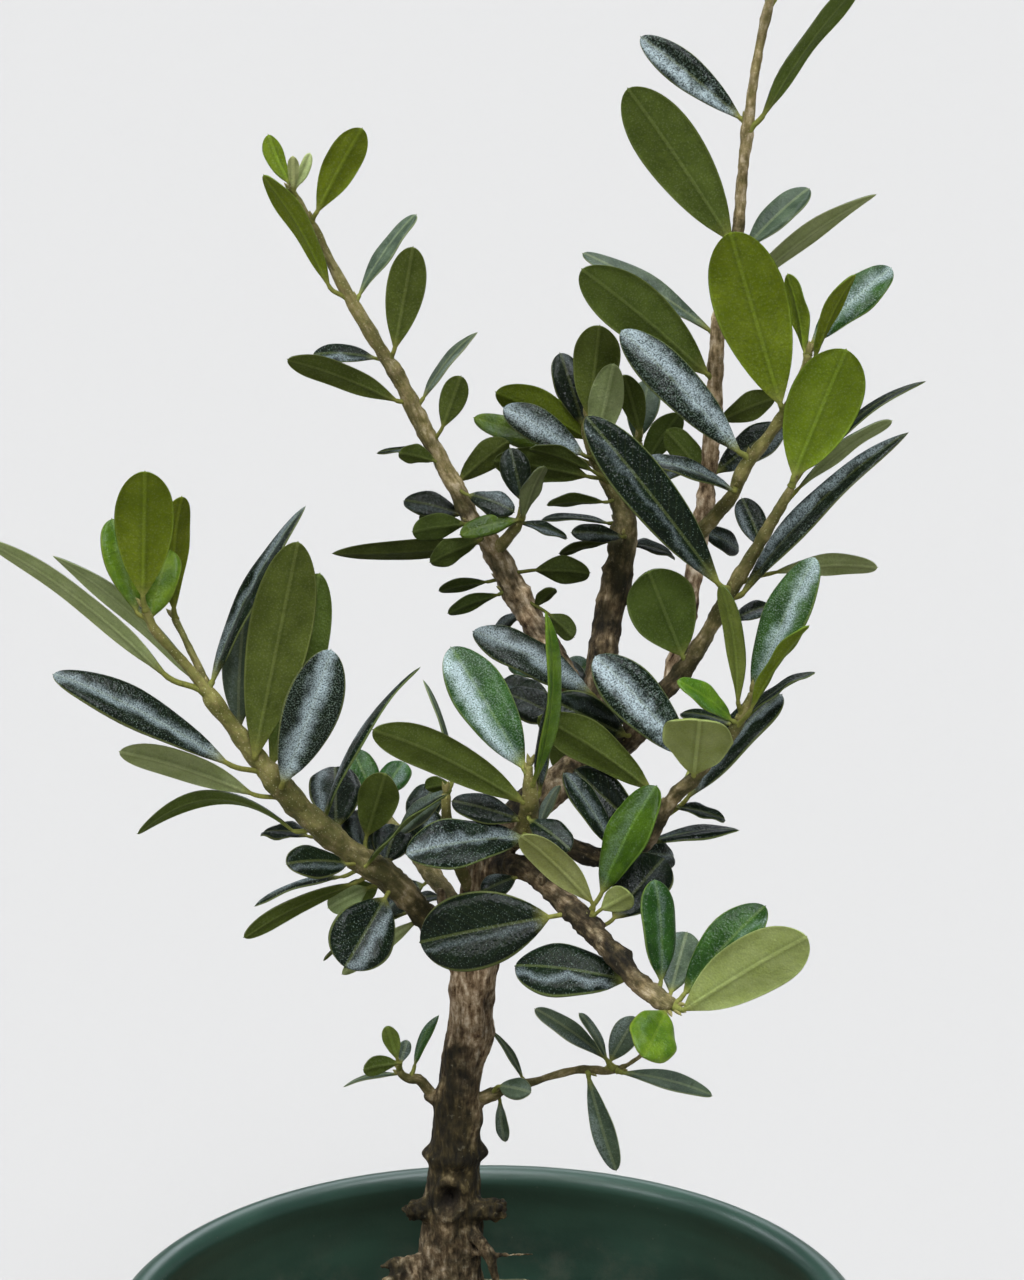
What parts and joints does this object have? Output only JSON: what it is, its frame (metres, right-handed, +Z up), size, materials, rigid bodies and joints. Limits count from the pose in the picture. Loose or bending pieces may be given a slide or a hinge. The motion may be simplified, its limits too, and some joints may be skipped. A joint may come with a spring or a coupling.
{
  "type": "potted olive bonsai",
  "caption": "Small olive tree with a knotted trunk, spreading limbs and leathery leaves, growing in a round tapered nursery pot with a rolled lip.",
  "frame": {"origin": "middle of the pot's flat underside, on the pot's axis", "axes": "+Z up along the pot's axis; +X to the right of the view that shows the long limb on the left and the leader on the right; +Y away from that view"},
  "size_m": [0.1872, 0.16, 0.4494],
  "materials": {
    "pot": "satin",
    "potting_soil": "matte",
    "bark": "matte",
    "twig": "matte",
    "dark_leaf": "satin",
    "fresh_leaf": "satin",
    "sage_leaf": "satin",
    "green_leaf": "satin",
    "lime_leaf": "satin",
    "vivid_leaf": "satin"
  },
  "bodies": {
    "root": {"back_branch": "twig", "back_left_branch": "twig", "central_branch": "twig", "central_dark_leaf": "dark_leaf", "central_shining_leaf": "dark_leaf", "central_side_twig": "twig", "central_top_leaf": "dark_leaf", "front_branch": "twig", "front_dark_leaf": "dark_leaf", "front_great_leaf": "dark_leaf", "front_left_leaf": "dark_leaf", "front_left_twig": "twig", "front_low_dark_leaf": "dark_leaf", "front_right_branch": "twig", "front_right_pale_leaf": "lime_leaf", "front_right_upper_leaf": "green_leaf", "front_shining_leaf": "green_leaf", "front_upright_leaf": "fresh_leaf", "front_vivid_leaf": "vivid_leaf", "leader": "twig", "leader_cut_leaf": "dark_leaf", "leader_green_leaf": "dark_leaf", "leader_low_leaf": "dark_leaf", "leader_pale_leaf": "dark_leaf", "left_branch": "twig", "left_dark_leaf": "dark_leaf", "left_great_leaf": "dark_leaf", "left_great_leaf_behind": "dark_leaf", "left_inner_leaf": "dark_leaf", "left_long_leaf": "sage_leaf", "left_round_leaf": "dark_leaf", "left_shining_leaf": "dark_leaf", "left_side_twig": "twig", "left_tip_leaf": "fresh_leaf", "left_upright_leaf": "dark_leaf", "lower_left_twig": "twig", "lower_right_twig": "twig", "pot": "pot", "potting_soil": "potting_soil", "right_black_leaf": "dark_leaf", "right_branch": "twig", "right_bright_leaf": "fresh_leaf", "right_broad_leaf": "dark_leaf", "right_inner_leaf": "dark_leaf", "right_long_leaf": "dark_leaf", "right_lower_branch": "twig", "right_lower_dark_leaf": "dark_leaf", "right_lower_green_leaf": "green_leaf", "right_lower_inner_leaf": "dark_leaf", "right_lower_pale_leaf": "lime_leaf", "right_upper_branch": "twig", "right_upper_great_leaf": "fresh_leaf", "right_upper_green_leaf": "green_leaf", "right_upper_shining_leaf": "dark_leaf", "trunk_and_limbs": "bark", "upper_left_branch": "twig", "upper_left_inner_leaf": "dark_leaf", "upper_left_outer_leaf": "dark_leaf", "upper_left_side_twig": "twig", "upper_left_tip_leaf": "fresh_leaf"}
  },
  "joints": []
}
